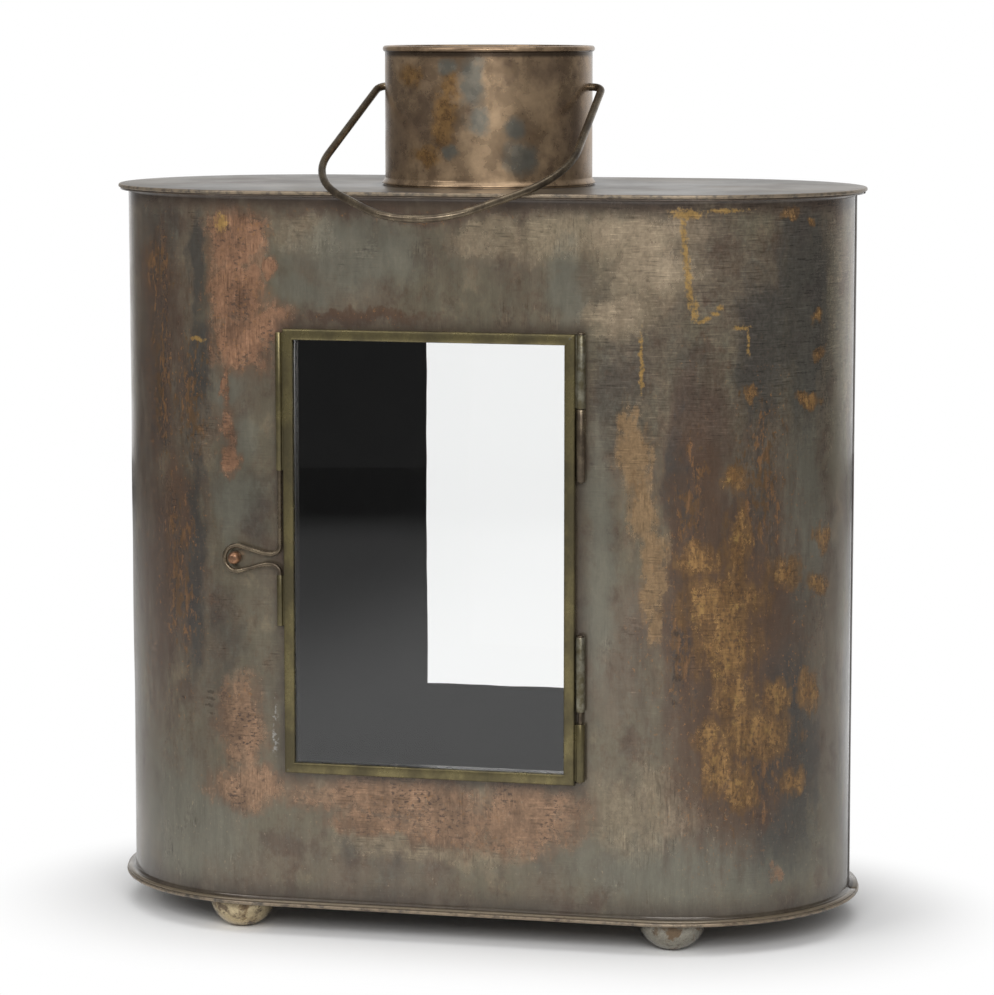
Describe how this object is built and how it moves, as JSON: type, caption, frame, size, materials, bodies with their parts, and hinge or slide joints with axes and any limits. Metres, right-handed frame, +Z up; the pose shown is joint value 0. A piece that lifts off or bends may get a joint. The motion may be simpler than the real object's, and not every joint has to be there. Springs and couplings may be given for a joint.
{
  "type": "oval metal lantern",
  "caption": "Oval patinated tin lantern with a hinged glass door held by a wire loop latch, a short round chimney, a swinging wire bail and ball feet.",
  "frame": {"origin": "on the floor plane through the four feet, under the middle of the oval body", "axes": "+X to the right along the long side, +Y from the door towards the back, +Z up"},
  "size_m": [0.33, 0.1892, 0.3795],
  "materials": {
    "patinated_sheet": "satin, mottled copper, bronze and grey-green patina",
    "patinated_foot": "worn satin",
    "bronzed_wire": "olive brown, satin with bright wear",
    "copper_stud": "dull copper",
    "aged_brass_channel": "aged, satin",
    "clear_glass": "clear, polished"
  },
  "bodies": {
    "body": {"front_shell": "patinated_sheet", "rear_shell": "patinated_sheet", "lid_plate": "patinated_sheet", "base_plate": "patinated_sheet", "foot_front_left": "patinated_foot", "foot_front_right": "patinated_foot", "foot_rear_left": "patinated_foot", "foot_rear_right": "patinated_foot", "chimney_tube": "patinated_sheet", "chimney_rim": "patinated_sheet", "chimney_collar": "patinated_sheet", "body_knuckle_upper": "aged_brass_channel", "body_knuckle_lower": "aged_brass_channel", "hinge_pin_upper": "bronzed_wire", "hinge_pin_lower": "bronzed_wire", "latch_stud": "copper_stud", "rear_top_rail": "aged_brass_channel", "rear_bottom_rail": "aged_brass_channel", "rear_left_stile": "aged_brass_channel", "rear_right_stile": "aged_brass_channel", "rear_glass": "clear_glass"},
    "door": {"door_top_rail": "aged_brass_channel", "door_bottom_rail": "aged_brass_channel", "door_latch_stile": "aged_brass_channel", "door_hinge_stile": "aged_brass_channel", "door_glass": "clear_glass", "door_knuckle_upper": "aged_brass_channel", "door_knuckle_lower": "aged_brass_channel", "latch_tube_upper": "aged_brass_channel", "latch_tube_lower": "aged_brass_channel"},
    "latch": {"latch_wire": "bronzed_wire"},
    "bail": {"bail_handle": "bronzed_wire"}
  },
  "joints": [
    {"name": "door_hinge", "type": "hinge", "parent": "body", "child": "door", "pos_m": [0.0584, -0.0799, 0.1666], "axis": [0, 0, 1], "range_deg": [0, 175]},
    {"name": "latch_swing", "type": "hinge", "parent": "door", "child": "latch", "pos_m": [-0.0721, -0.0798, 0.1632], "axis": [0, 0, 1], "range_deg": [0, 105]},
    {"name": "bail_swing", "type": "hinge", "parent": "body", "child": "bail", "pos_m": [0, 0, 0.36175], "axis": [-1, 0, 0], "range_deg": [0, 232.21]}
  ]
}
